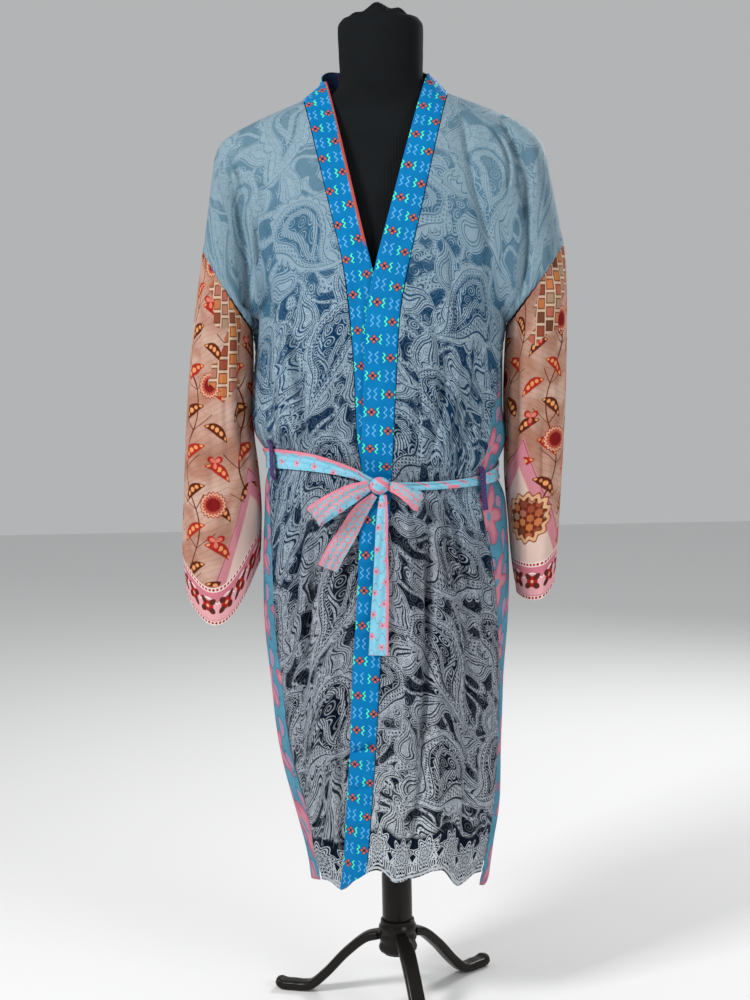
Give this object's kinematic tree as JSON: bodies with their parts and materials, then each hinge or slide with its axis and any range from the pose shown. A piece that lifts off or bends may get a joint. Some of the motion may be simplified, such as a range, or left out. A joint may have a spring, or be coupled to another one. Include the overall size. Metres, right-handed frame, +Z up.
{
  "type": "kimono robe on a dress form with a tripod stand",
  "caption": "Short-sleeved patchwork print kimono robe tied with a cloth belt, on a black limbless dress form with a tripod stand.",
  "frame": {"origin": "middle of the whole part's footprint, on the floor", "axes": "+Z up, +X to the wearer's left, -Y out of the robe's front"},
  "size_m": [0.5598, 0.3324, 1.4412],
  "materials": {
    "paisley": "matte printed silk",
    "band_print": "soft sheen printed silk",
    "sleeve_print": "matte printed silk",
    "back_print": "matte printed silk",
    "belt_print": "soft sheen printed silk",
    "loop_print": "matte printed silk",
    "jersey": "matte knitted jersey",
    "stand_black": "gloss black lacquer"
  },
  "bodies": {
    "root": {"front_right": "paisley", "front_left": "paisley", "band_right": "band_print", "band_left": "band_print", "collar": "band_print", "sleeve_right": "sleeve_print", "sleeve_left": "sleeve_print", "back_right": "back_print", "back_left": "back_print", "belt": "belt_print", "knot": "belt_print", "bow_loop_right": "belt_print", "bow_loop_left": "belt_print", "bow_tail_right": "belt_print", "bow_tail_left": "belt_print", "belt_loop_right": "loop_print", "belt_loop_left": "loop_print", "form_body": "jersey", "form_cover_knot": "jersey", "stand_pole": "stand_black", "stand_hub": "stand_black", "stand_leg_1": "stand_black", "stand_leg_2": "stand_black", "stand_leg_3": "stand_black"}
  },
  "joints": []
}
